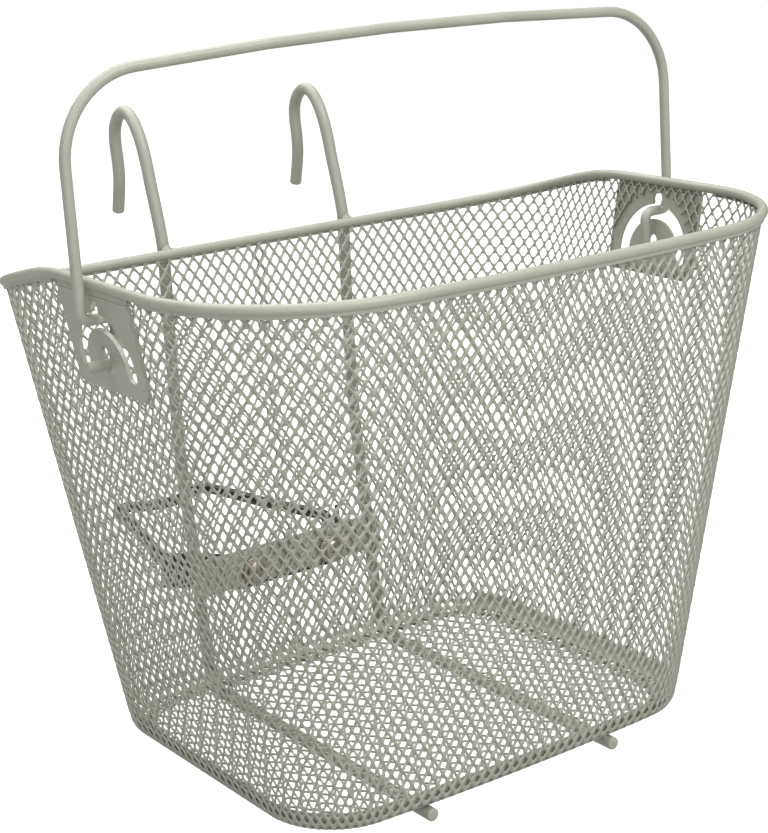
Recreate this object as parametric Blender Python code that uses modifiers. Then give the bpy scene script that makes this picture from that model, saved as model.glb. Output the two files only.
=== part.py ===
"""Hook-on bicycle basket of expanded-metal mesh with a swinging carrying handle.

Frame: +X to the basket's right, +Y towards the handlebar it hangs on, +Z up.
Lengths are in millimetres here and are scaled to metres when a mesh is made.
Heights are counted from the underside of the rods the basket stands on.
"""

import math

import bmesh
import bpy
from mathutils import Matrix, Vector

MM = 0.001
SHIFT_Y = -62.12    # puts the middle of the whole object's depth on the origin
GAP = 0.3           # clearance left between pieces that touch
# rim
RIM_R = 3.1         # rim wire radius
RIM_HALF = 170.5    # half width of the rim, centre line
RIM_BACK = 121.0
RIM_FRONT = -122.0
RIM_BOW = 9.5       # the front of the rim bows forward by this much
RIM_RB = 50.0       # plan radius of the back corners
RIM_RF = 75.0       # plan radius of the front corners
RIM_Z = 266.8       # level part of the rim
RIM_Z_BACK = 244.8  # low part, between the hooks
RIM_DIP_Y = 39.0    # the rim starts to fall towards the back here
# foot of the walls
FOOT_HALF = 124.0
FOOT_BACK = 106.5
FOOT_FRONT = -86.0
FOOT_BOW = 5.0
FOOT_RB = 36.0
FOOT_RF = 37.0
FOOT_Z = 8.8        # where the straight wall would meet the floor
FLOOR_Z = 6.8       # underside of the turned-in flange
SHEET = 1.2         # thickness of the expanded metal
FILLET = 8.0        # outer radius where wall turns into flange
FLANGE = 13.0       # width of the turned-in flange
# strip under the rim
LIP_H = 1.8
LIP_T = 1.0
LIP_CUT_FRONT = -41.0
LIP_CUT_BACK = 27.0
# side plates and the handle's pivot
PIVOT_Y = -7.0
PIVOT_Z = 230.3
PLATE_T = 2.0
PLATE_HALF = 31.5
PLATE_LOW = -13.0   # lower edge of the plate from the pivot, along the wall
PLATE_TOP = 33.2
ARC_IN = 17.0
ARC_OUT = 25.0
ARC_DROP = 2.8      # the arc slot runs on this far below the pivot
SLOT_W = 6.6
SLOT_LOW = -4.2
SLOT_TOP = 9.0
NOTCH_R = 3.5
NOTCH_UP = 28.2
WINDOW_R = 30.4     # round-topped opening in the mesh behind each plate
WINDOW_TOP = 31.3
WINDOW_LOW = -8.0
# handle
HANDLE_R = 2.6
HANDLE_HALF = 177.8
HANDLE_H = 132.5    # pivot axis to the bar
HANDLE_BOW = 2.0
HANDLE_CORNER = 40.0
HANDLE_CROSS = 21.0
HANDLE_INNER = 161.3
HANDLE_STUB = 177.4
HANDLE_LEAN = 2.0   # degrees towards the back, as it stands locked
# hook rods
ROD_R = 3.25
ROD_X = 58.0
# back strap, its bolts and the stay
STRAP_T = 2.0
STRAP_HALF = 61.0
STRAP_LOW = 55.8
STRAP_TOP = 76.0
BOLT_X = 25.5
BOLT_Z = 63.3
STAY_H = 20.0
STAY_T = 2.5
BAIL_R = 3.25

PAINT = (0.42, 0.42, 0.36)


def make_material(name, colour, rough, metal):
    m = bpy.data.materials.new(name)
    m.use_nodes = True
    b = m.node_tree.nodes["Principled BSDF"]
    b.inputs["Base Color"].default_value = (*colour, 1.0)
    b.inputs["Roughness"].default_value = rough
    b.inputs["Metallic"].default_value = metal
    return m


def finish(obj, mat, group, smooth=True):
    """Give the object its one material, put it in its collection and shade it."""
    for c in list(obj.users_collection):
        c.objects.unlink(obj)
    group.objects.link(obj)
    obj.data.materials.clear()
    obj.data.materials.append(mat)
    if smooth:
        obj.data.shade_smooth()
        obj.data.set_sharp_from_angle(angle=math.radians(35))
    return obj


def mesh_object(name, verts, faces, group):
    me = bpy.data.meshes.new(name)
    me.from_pydata([tuple(c * MM for c in v) for v in verts], [], faces)
    me.validate()
    obj = bpy.data.objects.new(name, me)
    group.objects.link(obj)
    bm = bmesh.new()
    bm.from_mesh(me)
    bmesh.ops.remove_doubles(bm, verts=bm.verts, dist=1e-6)
    bmesh.ops.recalc_face_normals(bm, faces=bm.faces)
    bm.to_mesh(me)
    bm.free()
    return obj


def apply_modifiers(obj):
    dg = bpy.context.evaluated_depsgraph_get()
    dg.update()
    me = bpy.data.meshes.new_from_object(obj.evaluated_get(dg))
    obj.modifiers.clear()
    obj.data = me
    return obj


def tube(name, points, radius, group, closed=False, sides=2):
    """A round wire along a path: a POLY curve with a round bevel, then a mesh."""
    cu = bpy.data.curves.new(name, "CURVE")
    cu.dimensions = "3D"
    cu.bevel_depth = radius * MM
    cu.bevel_resolution = sides
    cu.use_fill_caps = not closed
    sp = cu.splines.new("POLY")
    sp.points.add(len(points) - 1)
    for i, p in enumerate(points):
        sp.points[i].co = (p[0] * MM, p[1] * MM, p[2] * MM, 1.0)
    sp.use_cyclic_u = closed
    tmp = bpy.data.objects.new(name + "_curve", cu)
    bpy.context.scene.collection.objects.link(tmp)
    dg = bpy.context.evaluated_depsgraph_get()
    dg.update()
    me = bpy.data.meshes.new_from_object(tmp.evaluated_get(dg))
    me.name = name
    bpy.data.objects.remove(tmp)
    obj = bpy.data.objects.new(name, me)
    group.objects.link(obj)
    bm = bmesh.new()
    bm.from_mesh(me)
    bmesh.ops.remove_doubles(bm, verts=bm.verts, dist=1e-6)
    bmesh.ops.recalc_face_normals(bm, faces=bm.faces)
    bm.to_mesh(me)
    bm.free()
    return obj


def cylinder(name, radius, depth, group, sides=32, at=(0, 0, 0), matrix=None):
    me = bpy.data.meshes.new(name)
    bm = bmesh.new()
    bmesh.ops.create_cone(
        bm, cap_ends=True, segments=sides,
        radius1=radius * MM, radius2=radius * MM, depth=depth * MM,
    )
    bmesh.ops.translate(bm, verts=bm.verts, vec=Vector(at) * MM)
    if matrix is not None:
        bmesh.ops.transform(bm, matrix=matrix, verts=bm.verts)
    bmesh.ops.recalc_face_normals(bm, faces=bm.faces)
    bm.to_mesh(me)
    bm.free()
    obj = bpy.data.objects.new(name, me)
    group.objects.link(obj)
    return obj


def cut(obj, cutter, kind="DIFFERENCE"):
    m = obj.modifiers.new("cut", "BOOLEAN")
    m.operation = kind
    m.solver = "EXACT"
    m.object = cutter
    return apply_modifiers(obj)


def rounded(points, steps=6):
    """Round the corners of a polyline: each point is (coordinates..., radius)."""
    out = []
    last = len(points) - 1
    for i, p in enumerate(points):
        here = Vector(p[:3])
        r = p[3] if len(p) > 3 else 0.0
        if i in (0, last) or r <= 0.0:
            out.append(here)
            continue
        a = (Vector(points[i - 1][:3]) - here).normalized()
        b = (Vector(points[i + 1][:3]) - here).normalized()
        half = a.angle(b) / 2.0
        reach = r / math.tan(half)
        centre = here + (a + b).normalized() * (r / math.sin(half))
        start = here + a * reach - centre
        end = here + b * reach - centre
        sweep = start.angle(end)
        for k in range(steps + 1):
            f = k / steps
            w0 = math.sin((1 - f) * sweep) / math.sin(sweep)
            w1 = math.sin(f * sweep) / math.sin(sweep)
            out.append(centre + start * w0 + end * w1)
    return out


def outline(half, back, front, rb, rf, bow, inset=0.0, corner=7, side=6, nose=12):
    """Plan outline from the middle of the back, anticlockwise seen from above."""
    h = half - inset
    b = back - inset
    f = front + inset
    rb = max(rb - inset, 1.0)
    rf = max(rf - inset, 1.0)
    pts = []

    def arc(cx, cy, r, a0, a1, n):
        for k in range(n):
            a = math.radians(a0 + (a1 - a0) * k / (n - 1))
            pts.append((cx + r * math.cos(a), cy + r * math.sin(a)))

    def line(x0, y0, x1, y1, n):
        for k in range(1, n):
            pts.append((x0 + (x1 - x0) * k / n, y0 + (y1 - y0) * k / n))

    pts.append((0.0, b))
    line(0.0, b, -(h - rb), b, side)
    arc(-(h - rb), b - rb, rb, 90, 180, corner)
    line(-h, b - rb, -h, f + rf, side)
    arc(-(h - rf), f + rf, rf, 180, 270, corner)
    line(-(h - rf), f, h - rf, f, nose)
    arc(h - rf, f + rf, rf, 270, 360, corner)
    line(h, f + rf, h, b - rb, side)
    arc(h - rb, b - rb, rb, 0, 90, corner)
    line(h - rb, b, 0.0, b, side)
    out = []
    for x, y in pts:
        ahead = min(max(y / f, 0.0), 1.0) if f < 0 else 0.0
        out.append((x, y - bow * (1.0 - (x / h) ** 2) * ahead))
    return out


def rim_height(y):
    """Level at the front and sides, then an eased fall to the back."""
    soft = 7.0
    fall = soft * math.log1p(math.exp((y - RIM_DIP_Y) / soft))
    return RIM_Z + (RIM_Z_BACK - RIM_Z) * fall / (RIM_BACK - RIM_DIP_Y)


def rim_points(inset=0.0):
    plan = outline(RIM_HALF, RIM_BACK, RIM_FRONT, RIM_RB, RIM_RF, RIM_BOW, inset)
    return [(x, y, rim_height(y)) for x, y in plan]


def foot_points(inset=0.0):
    plan = outline(FOOT_HALF, FOOT_BACK, FOOT_FRONT, FOOT_RB, FOOT_RF, FOOT_BOW, inset)
    return [(x, y, FOOT_Z) for x, y in plan]


def wall_at(rim, foot, z):
    f = (z - foot[2]) / (rim[2] - foot[2])
    return tuple(foot[i] + (rim[i] - foot[i]) * f for i in range(3))


def place(obj):
    """Move a finished piece into the object's own frame."""
    obj.data.transform(Matrix.Translation((0.0, SHIFT_Y * MM, 0.0)))
    return obj


def clean_scene():
    for obj in list(bpy.data.objects):
        bpy.data.objects.remove(obj)


def side_frame(sign):
    """Matrix of a plate's own frame: x outward from the wall, y back, z up the wall."""
    run = RIM_HALF - FOOT_HALF
    rise = RIM_Z - FOOT_Z
    lean = math.atan2(run, rise)
    x = FOOT_HALF + run * (PIVOT_Z - FOOT_Z) / rise
    up = Vector((math.sin(lean), 0.0, math.cos(lean)))
    out = Vector((math.cos(lean), 0.0, -math.sin(lean)))
    m = Matrix((
        (out.x, 0.0, up.x, x * MM),
        (0.0, 1.0, 0.0, PIVOT_Y * MM),
        (out.z, 0.0, up.z, PIVOT_Z * MM),
        (0.0, 0.0, 0.0, 1.0),
    ))
    if sign < 0:
        m = Matrix.Diagonal((-1.0, 1.0, 1.0, 1.0)) @ m
    return m


def back_frame(x):
    """Frame on the back wall at bolt height: x right, y outward, z up the wall."""
    run = RIM_BACK - FOOT_BACK
    rise = RIM_Z_BACK - FOOT_Z
    lean = math.atan2(run, rise)
    y = FOOT_BACK + run * (BOLT_Z - FOOT_Z) / rise
    return Matrix((
        (1.0, 0.0, 0.0, x * MM),
        (0.0, math.cos(lean), math.sin(lean), y * MM),
        (0.0, -math.sin(lean), math.cos(lean), BOLT_Z * MM),
        (0.0, 0.0, 0.0, 1.0),
    ))


def make_rim(group, mat):
    obj = tube("rim_wire", rim_points(), RIM_R, group, closed=True)
    return finish(place(obj), mat, group)


def make_lip(name, group, mat, front):
    """Flat strip that trims the top edge of the mesh, just below the rim wire."""
    rim = rim_points()
    foot = foot_points()
    n = len(rim)
    keep = []
    off = SHEET / 2 + GAP + LIP_T / 2
    for i in range(n):
        top = wall_at(rim[i], foot[i], rim[i][2] - RIM_R - GAP - 0.2)
        low = wall_at(rim[i], foot[i], rim[i][2] - RIM_R - GAP - 0.2 - LIP_H)
        a = Vector(rim[(i + 1) % n]) - Vector(rim[i - 1])
        nrm = Vector((a.y, -a.x, 0.0)).normalized()
        if nrm.dot(Vector((top[0], top[1], 0.0))) < 0:
            nrm.negate()
        keep.append((Vector(top) + nrm * off, Vector(low) + nrm * off))
    ring = keep[:]
    limit = LIP_CUT_FRONT if front else LIP_CUT_BACK
    chosen = []
    order = list(range(n)) if front else list(range(n // 2, n)) + list(range(n // 2))
    for i in order:
        t, w = ring[i]
        inside = t.y <= limit if front else t.y >= limit
        j = (i + 1) % n
        t2, w2 = ring[j]
        inside2 = t2.y <= limit if front else t2.y >= limit
        if inside:
            chosen.append((t, w))
        if inside != inside2:
            f = (limit - t.y) / (t2.y - t.y)
            chosen.append((t.lerp(t2, f), w.lerp(w2, f)))
    verts = []
    faces = []
    for t, w in chosen:
        verts.append(tuple(t))
        verts.append(tuple(w))
    for k in range(len(chosen) - 1):
        faces.append((2 * k, 2 * k + 1, 2 * k + 3, 2 * k + 2))
    obj = mesh_object(name, verts, faces, group)
    s = obj.modifiers.new("thick", "SOLIDIFY")
    s.thickness = LIP_T * MM
    s.offset = 0.0
    s.use_even_offset = True
    apply_modifiers(obj)
    return finish(place(obj), mat, group)


def make_wall(group, cutters, mat):
    """The mesh wall as one closed sheet: all round, down the wall and in under the floor."""
    rim = rim_points()
    foot = foot_points()
    n = len(rim)
    mid = FLOOR_Z + SHEET / 2
    r = FILLET - SHEET / 2
    rows = []
    top = [wall_at(rim[i], foot[i], rim[i][2] - RIM_R - GAP) for i in range(n)]
    low = [wall_at(rim[i], foot[i], mid + r) for i in range(n)]
    rows.append(top)
    rows.append([tuple((Vector(top[i]) + Vector(low[i])) / 2) for i in range(n)])
    rows.append(low)
    for k in range(1, 4):
        a = math.radians(30 * k)
        ins = r * (1 - math.cos(a))
        ring = foot_points(ins - (low[0][1] - FOOT_BACK))
        rows.append([(p[0], p[1], mid + r - r * math.sin(a)) for p in ring])
    ring = foot_points(r + FLANGE)
    rows.append([(p[0], p[1], mid) for p in ring])
    verts = [v for row in rows for v in row]
    faces = []
    for j in range(len(rows) - 1):
        for i in range(n):
            a = j * n + i
            b = j * n + (i + 1) % n
            faces.append((a, b, b + n, a + n))
    obj = mesh_object("wall_mesh", verts, faces, group)
    s = obj.modifiers.new("thick", "SOLIDIFY")
    s.thickness = SHEET * MM
    s.offset = 0.0
    s.use_even_offset = True
    apply_modifiers(obj)
    for sign in (-1, 1):
        c = prism("window_cutter", window(), -7.0, 7.0, side_frame(sign), cutters)
        hide(c)
        cut(obj, c)
        m = back_frame(sign * BOLT_X) @ Matrix.Rotation(math.radians(90), 4, "X")
        c = cylinder("bolt_hole_cutter", 3.3, 14.0, cutters, 20, (0, 0, 0), m)
        hide(c)
        cut(obj, c)
    return finish(place(obj), mat, group)


def hide(obj):
    obj.hide_render = True
    obj.display_type = "WIRE"


def make_floor(group, mat):
    ring = foot_points(6.2)
    z0 = FLOOR_Z + SHEET + GAP
    verts = [(p[0], p[1], z0) for p in ring] + [(p[0], p[1], z0 + SHEET) for p in ring]
    n = len(ring)
    faces = [tuple(range(n)), tuple(range(2 * n - 1, n - 1, -1))]
    for i in range(n):
        j = (i + 1) % n
        faces.append((i, i + n, j + n, j))
    obj = mesh_object("floor_mesh", verts, faces, group)
    return finish(place(obj), mat, group)


def rod_path():
    """Centre line (y, z) of a hook rod from the hook's tip to its front foot."""
    up = RIM_BACK + RIM_R + GAP + ROD_R
    centre_z = FLOOR_Z - GAP - ROD_R
    bend = FILLET + GAP + ROD_R
    by = FOOT_BACK - FILLET + SHEET / 2 + 0.4
    bz = FLOOR_Z + FILLET
    pts = [
        (173.6, 261.0), (171.2, 271.0), (169.5, 280.0), (169.7, 290.0), (170.7, 299.0),
        (169.8, 306.5), (166.3, 312.3), (161.3, 315.7), (156.0, 316.2), (150.8, 313.3),
        (146.4, 308.2), (142.6, 301.5), (139.4, 293.0), (135.9, 280.0), (132.2, 267.0),
        (129.2, 255.5), (up + 0.1, 247.5), (up, 240.0), (up, 190.0), (126.6, 150.0),
        (124.4, 120.0), (121.2, 95.0), (118.6, 78.0), (116.9, 66.0), (115.7, 52.0),
        (114.2, 38.0), (by + bend + 0.6, 24.0),
    ]
    for k in range(1, 7):
        a = math.radians(15 * k)
        pts.append((by + bend * math.cos(a), bz - bend * math.sin(a)))
    pts += [(60.0, centre_z), (0.0, centre_z), (-60.0, centre_z), (-92.5, centre_z)]
    return pts


def make_rod(name, sign, group, mat):
    path = [(sign * ROD_X, y, z) for y, z in rod_path()]
    obj = tube(name, path, ROD_R, group)
    return finish(place(obj), mat, group)


def plate_outline():
    """Side plate outline in its own plane: (back, up) from the pivot."""
    h = PLATE_HALF
    pts = [(-h, PLATE_TOP), (-h, PLATE_LOW + 4), (-h + 4, PLATE_LOW),
           (h - 4, PLATE_LOW), (h, PLATE_LOW + 4), (h, PLATE_TOP)]
    return pts


def sector(r0, r1, drop, n=22):
    """Arc slot outline: half ring above the pivot that runs on a little below it."""
    out = []
    for k in range(n + 1):
        a = math.pi * k / n
        out.append((r1 * math.cos(a), r1 * math.sin(a)))
    end = (r1 - r0) / 2
    mid = -(r0 + r1) / 2
    for k in range(1, 6):
        a = math.pi + math.pi * k / 6
        out.append((mid + end * math.cos(a), -drop + end * 0.6 * math.sin(a)))
    for k in range(n + 1):
        a = math.pi - math.pi * k / n
        out.append((r0 * math.cos(a), r0 * math.sin(a)))
    for k in range(1, 6):
        a = math.pi + math.pi * k / 6
        out.append((-mid + end * math.cos(a), -drop + end * 0.6 * math.sin(a)))
    return out


def slot(width, low, high, n=8):
    r = width / 2
    out = []
    for k in range(n + 1):
        a = math.pi * k / n
        out.append((r * math.cos(a), high - r + r * math.sin(a)))
    for k in range(n + 1):
        a = math.pi + math.pi * k / n
        out.append((r * math.cos(a), low + r + r * math.sin(a)))
    return out


def window(n=30):
    a0 = math.asin(WINDOW_LOW / WINDOW_TOP)
    out = []
    for k in range(n + 1):
        a = a0 + (math.pi - 2 * a0) * k / n
        out.append((WINDOW_R * math.cos(a), WINDOW_TOP * math.sin(a)))
    return out


def notch():
    """Keyhole above the arc slot: a neck with a round head."""
    r = NOTCH_R
    half = HANDLE_R + 0.5
    out = [(-half, ARC_OUT - 2.5)]
    n = 14
    start = math.pi * 1.5 - math.asin(half / r)
    for k in range(n + 1):
        a = start - (2 * math.pi - 2 * math.asin(half / r)) * k / n
        out.append((r * math.cos(a), NOTCH_UP + r * math.sin(a)))
    out.append((half, ARC_OUT - 2.5))
    return out


def prism(name, outline2d, x0, x1, matrix, group):
    """Extrude an outline given as (back, up) along the frame's x."""
    n = len(outline2d)
    verts = [(x0, p[0], p[1]) for p in outline2d] + [(x1, p[0], p[1]) for p in outline2d]
    faces = [tuple(range(n)), tuple(range(2 * n - 1, n - 1, -1))]
    for i in range(n):
        j = (i + 1) % n
        faces.append((i, i + n, j + n, j))
    obj = mesh_object(name, verts, faces, group)
    obj.data.transform(matrix)
    bm = bmesh.new()
    bm.from_mesh(obj.data)
    bmesh.ops.recalc_face_normals(bm, faces=bm.faces)
    bm.to_mesh(obj.data)
    bm.free()
    return obj


def make_plate(name, sign, group, cutters, mat):
    m = side_frame(sign)
    x0 = SHEET / 2 + GAP
    obj = prism(name, plate_outline(), x0, x0 + PLATE_T, m, group)
    shapes = (
        ("arc_cutter", sector(ARC_IN, ARC_OUT, ARC_DROP)),
        ("slot_cutter", slot(SLOT_W, SLOT_LOW, SLOT_TOP)),
        ("notch_cutter", notch()),
    )
    for label, shape in shapes:
        c = prism(label, shape, x0 - 3.0, x0 + PLATE_T + 3.0, m, cutters)
        hide(c)
        cut(obj, c)
    return finish(place(obj), mat, group)


def make_handle(group, mat):
    """One wire: stub, inner leg, jog out through the arc slot, leg, bar and back again."""
    h = HANDLE_HALF
    side = [
        (HANDLE_STUB, 0.0, 0.0, 0.0),
        (HANDLE_INNER, 0.0, 0.0, 4.6),
        (HANDLE_INNER, 0.0, HANDLE_CROSS, 4.6),
        (h, 0.0, HANDLE_CROSS, 4.6),
        (h, 0.0, HANDLE_H - 6.0, HANDLE_CORNER),
    ]
    left = [(-x, y, z, r) for x, y, z, r in side]
    bar = [(-70.0, 0.0, HANDLE_H - 1.0, 60.0), (0.0, 0.0, HANDLE_H, 0.0),
           (70.0, 0.0, HANDLE_H - 1.0, 60.0)]
    path = rounded(left + bar + side[::-1], 5)
    lean = Matrix.Rotation(math.radians(-HANDLE_LEAN), 3, "X")
    obj = tube("handle", [tuple(lean @ Vector(p)) for p in path], HANDLE_R, group)
    obj.location = (0.0, (PIVOT_Y + SHIFT_Y) * MM, PIVOT_Z * MM)
    return finish(obj, mat, group)


def bolt_matrix(sign):
    """Bolt axis outward through the back wall, as local +Z."""
    return back_frame(sign * BOLT_X) @ Matrix.Rotation(math.radians(-90), 4, "X")


def ring(name, outer, inner, z0, z1, sides_out, m, group, cutters):
    obj = cylinder(name, outer, z1 - z0, group, sides_out, (0, 0, (z0 + z1) / 2), m)
    c = cylinder(name + "_cutter", inner, z1 - z0 + 4, cutters, 20, (0, 0, (z0 + z1) / 2), m)
    hide(c)
    return cut(obj, c)


def make_bolt(name, sign, group, mat):
    """Pan-head screw, head inside the basket, shank out through wall, strap and stay."""
    m = bolt_matrix(sign)
    head = -(SHEET / 2 + GAP + 1.2 + GAP)
    end = SHEET / 2 + GAP + STRAP_T + GAP + STAY_T + GAP + 1.2 + GAP + 5.0 + 2.0
    profile = [(0.0, head - 3.6), (2.6, head - 3.6), (4.4, head - 3.0), (5.4, head - 1.8),
               (5.6, head - 0.4), (5.6, head), (3.0, head), (3.0, end - 0.6), (2.4, end),
               (0.0, end)]
    n = 20
    verts = []
    for r, z in profile:
        if r == 0.0:
            verts.append((0.0, 0.0, z))
            continue
        for k in range(n):
            a = 2 * math.pi * k / n
            verts.append((r * math.cos(a), r * math.sin(a), z))
    faces = []
    first = 1
    for k in range(n):
        faces.append((0, first + (k + 1) % n, first + k))
    for j in range(len(profile) - 3):
        a0 = 1 + j * n
        for k in range(n):
            k2 = (k + 1) % n
            faces.append((a0 + k, a0 + k2, a0 + n + k2, a0 + n + k))
    last = 1 + (len(profile) - 3) * n
    tip = last + n
    for k in range(n):
        faces.append((tip, last + k, last + (k + 1) % n))
    obj = mesh_object(name, verts, faces, group)
    obj.data.transform(m)
    return finish(place(obj), mat, group)


def make_washer(name, sign, inside, group, cutters, mat):
    m = bolt_matrix(sign)
    if inside:
        z1 = -(SHEET / 2 + GAP)
        z0 = z1 - 1.2
        r = 8.0
    else:
        z0 = SHEET / 2 + GAP + STRAP_T + GAP + STAY_T + GAP
        z1 = z0 + 1.2
        r = 6.0
    obj = ring(name, r, 3.3, z0, z1, 28, m, group, cutters)
    return finish(place(obj), mat, group)


def make_nut(name, sign, group, cutters, mat):
    m = bolt_matrix(sign)
    z0 = SHEET / 2 + GAP + STRAP_T + GAP + STAY_T + GAP + 1.2 + GAP
    obj = ring(name, 5.77, 3.3, z0, z0 + 5.0, 6, m, group, cutters)
    return finish(place(obj), mat, group)


def bolt_holes(obj, cutters, depth=30.0):
    for sign in (-1, 1):
        c = cylinder("hole_cutter", 3.3, depth, cutters, 20, (0, 0, 0), bolt_matrix(sign))
        hide(c)
        cut(obj, c)


def make_strap(group, cutters, mat):
    """Flat steel strap against the outside of the back wall, between the two rods."""
    m = back_frame(0.0)
    y0 = SHEET / 2 + GAP
    low = STRAP_LOW - BOLT_Z
    top = STRAP_TOP - BOLT_Z
    h = STRAP_HALF
    shape = [(-h, low + 2), (-h + 2, low), (h - 2, low), (h, low + 2),
             (h, top - 2), (h - 2, top), (-h + 2, top), (-h, top - 2)]
    n = len(shape)
    verts = [(x, y0, z) for x, z in shape] + [(x, y0 + STRAP_T, z) for x, z in shape]
    faces = [tuple(range(n)), tuple(range(2 * n - 1, n - 1, -1))]
    for i in range(n):
        j = (i + 1) % n
        faces.append((i, i + n, j + n, j))
    obj = mesh_object("back_strap", verts, faces, group)
    obj.data.transform(m)
    bolt_holes(obj, cutters)
    return finish(place(obj), mat, group)


def make_stay_base(group, cutters, mat):
    """Black flat bar bolted behind the strap, both ends flared out and back."""
    m = back_frame(0.0)
    y0 = SHEET / 2 + GAP + STRAP_T + GAP + STAY_T / 2
    half = [(0.0, y0), (32.0, y0), (34.4, y0 + 1.3), (36.2, y0 + 3.4), (60.5, y0 + 37.5)]
    line = [(-x, y) for x, y in half[:0:-1]] + half
    verts = []
    for x, y in line:
        verts.append((x, y, -STAY_H / 2))
        verts.append((x, y, STAY_H / 2))
    faces = []
    for k in range(len(line) - 1):
        faces.append((2 * k, 2 * k + 2, 2 * k + 3, 2 * k + 1))
    obj = mesh_object("stay_base", verts, faces, group)
    s = obj.modifiers.new("thick", "SOLIDIFY")
    s.thickness = STAY_T * MM
    s.offset = 0.0
    s.use_even_offset = True
    apply_modifiers(obj)
    obj.data.transform(m)
    bolt_holes(obj, cutters)
    return finish(place(obj), mat, group)


def make_bail(group, mat):
    """Black wire bail of the stay: two arms and a hollowed crosspiece for the head tube."""
    z = BOLT_Z
    half = [
        (0.0, 246.0, z, 0.0), (14.0, 247.8, z, 30.0), (30.5, 261.0, z, 7.0),
        (36.5, 236.0, z, 60.0), (43.0, 205.0, z, 80.0), (56.6, 159.2, z, 9.0),
        (45.6, 139.2, z, 0.0),
    ]
    path = [(-x, y, zz, r) for x, y, zz, r in half[:0:-1]] + half
    obj = tube("stay_bail", rounded(path, 4), BAIL_R, group)
    return finish(place(obj), mat, group)


def main():
    clean_scene()
    root = bpy.context.scene.collection
    group = bpy.data.collections.new("mesh_bicycle_basket")
    cutters = bpy.data.collections.new("cutters")
    root.children.link(group)
    root.children.link(cutters)
    cutters.hide_render = True

    def paint(name):
        return make_material(name, PAINT, 0.42, 0.0)

    make_rim(group, paint("rim_paint"))
    make_lip("rim_lip_front", group, paint("lip_front_paint"), True)
    make_lip("rim_lip_back", group, paint("lip_back_paint"), False)
    make_wall(group, cutters, paint("wall_paint"))
    make_floor(group, paint("floor_paint"))
    for label, sign in (("left", -1), ("right", 1)):
        make_rod("hook_rod_" + label, sign, group, paint("rod_paint_" + label))
        make_plate("side_plate_" + label, sign, group, cutters, paint("plate_paint_" + label))
    make_handle(group, paint("handle_paint"))
    make_strap(group, cutters, paint("strap_paint"))
    zinc = (0.55, 0.52, 0.49)
    for label, sign in (("left", -1), ("right", 1)):
        steel = make_material("bolt_zinc_" + label, zinc, 0.3, 1.0)
        make_bolt("bolt_" + label, sign, group, steel)
        steel = make_material("inner_washer_zinc_" + label, zinc, 0.32, 1.0)
        make_washer("inner_washer_" + label, sign, True, group, cutters, steel)
        steel = make_material("outer_washer_zinc_" + label, zinc, 0.32, 1.0)
        make_washer("outer_washer_" + label, sign, False, group, cutters, steel)
        steel = make_material("nut_zinc_" + label, zinc, 0.3, 1.0)
        make_nut("nut_" + label, sign, group, cutters, steel)
    black = (0.012, 0.012, 0.013)
    make_stay_base(group, cutters, make_material("stay_base_black", black, 0.4, 0.0))
    make_bail(group, make_material("stay_bail_black", black, 0.4, 0.0))


main()
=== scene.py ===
"""Looks of the hook-on mesh bicycle basket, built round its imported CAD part.

Lengths are in millimetres in the basket's own frame until a mesh is made: +X to the basket's
right, +Y towards the handlebar, +Z up, heights from the underside of the rods. new_object()
moves them into the part's frame in metres.
"""

import math

import bpy
import numpy as np
from mathutils import Matrix, Vector


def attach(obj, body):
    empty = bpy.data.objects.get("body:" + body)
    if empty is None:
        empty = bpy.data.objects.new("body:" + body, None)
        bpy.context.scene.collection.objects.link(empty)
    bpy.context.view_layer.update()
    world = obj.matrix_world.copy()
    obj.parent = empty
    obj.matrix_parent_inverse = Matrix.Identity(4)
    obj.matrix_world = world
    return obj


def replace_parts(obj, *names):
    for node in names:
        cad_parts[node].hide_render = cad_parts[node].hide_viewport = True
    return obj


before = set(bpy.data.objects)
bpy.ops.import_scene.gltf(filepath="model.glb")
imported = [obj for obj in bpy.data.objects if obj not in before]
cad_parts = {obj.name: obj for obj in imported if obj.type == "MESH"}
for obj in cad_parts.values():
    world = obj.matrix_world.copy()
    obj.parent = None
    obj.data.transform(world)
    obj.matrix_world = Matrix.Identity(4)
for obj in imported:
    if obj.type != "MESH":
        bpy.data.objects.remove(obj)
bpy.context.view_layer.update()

MM = 0.001
SHIFT_Y = -62.12    # from the basket's own frame to the part's
GAP = 0.3           # between neighbouring pieces
# points of an outline in a corner's arc, in a side or half of the back, and in the front
CORNER_STEPS, SIDE_STEPS, NOSE_STEPS = 24, 12, 40
# rim and foot outlines
RIM_R = 3.1
WIRE_R, WIRE_UP, WIRE_OUT = 2.5, 0.4, 0.5    # the rim's wire as seen, a little up and out
RIM_HALF, RIM_BACK, RIM_FRONT = 170.5, 121.0, -122.0
RIM_BOW, RIM_RB, RIM_RF = 9.5, 50.0, 75.0
RIM_Z, RIM_Z_BACK, RIM_DIP_Y, RIM_SOFT = 266.8, 244.8, 39.0, 7.0
FOOT_HALF, FOOT_BACK, FOOT_FRONT = 124.0, 106.5, -86.0
FOOT_BOW, FOOT_RB, FOOT_RF = 5.0, 36.0, 37.0
FOOT_Z, FLOOR_Z, SHEET = 8.8, 6.8, 1.2
FILLET, FLANGE = 8.0, 5.0
FOLD_R = FILLET - SHEET / 2
FOLD_MID = FLOOR_Z + SHEET / 2
Z_LOW = FOLD_MID + FOLD_R
FLOOR_INSET = 6.2
FLOOR_CENTRE = 10.0
FLOOR_MID = FLOOR_Z + SHEET + GAP + SHEET / 2
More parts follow.
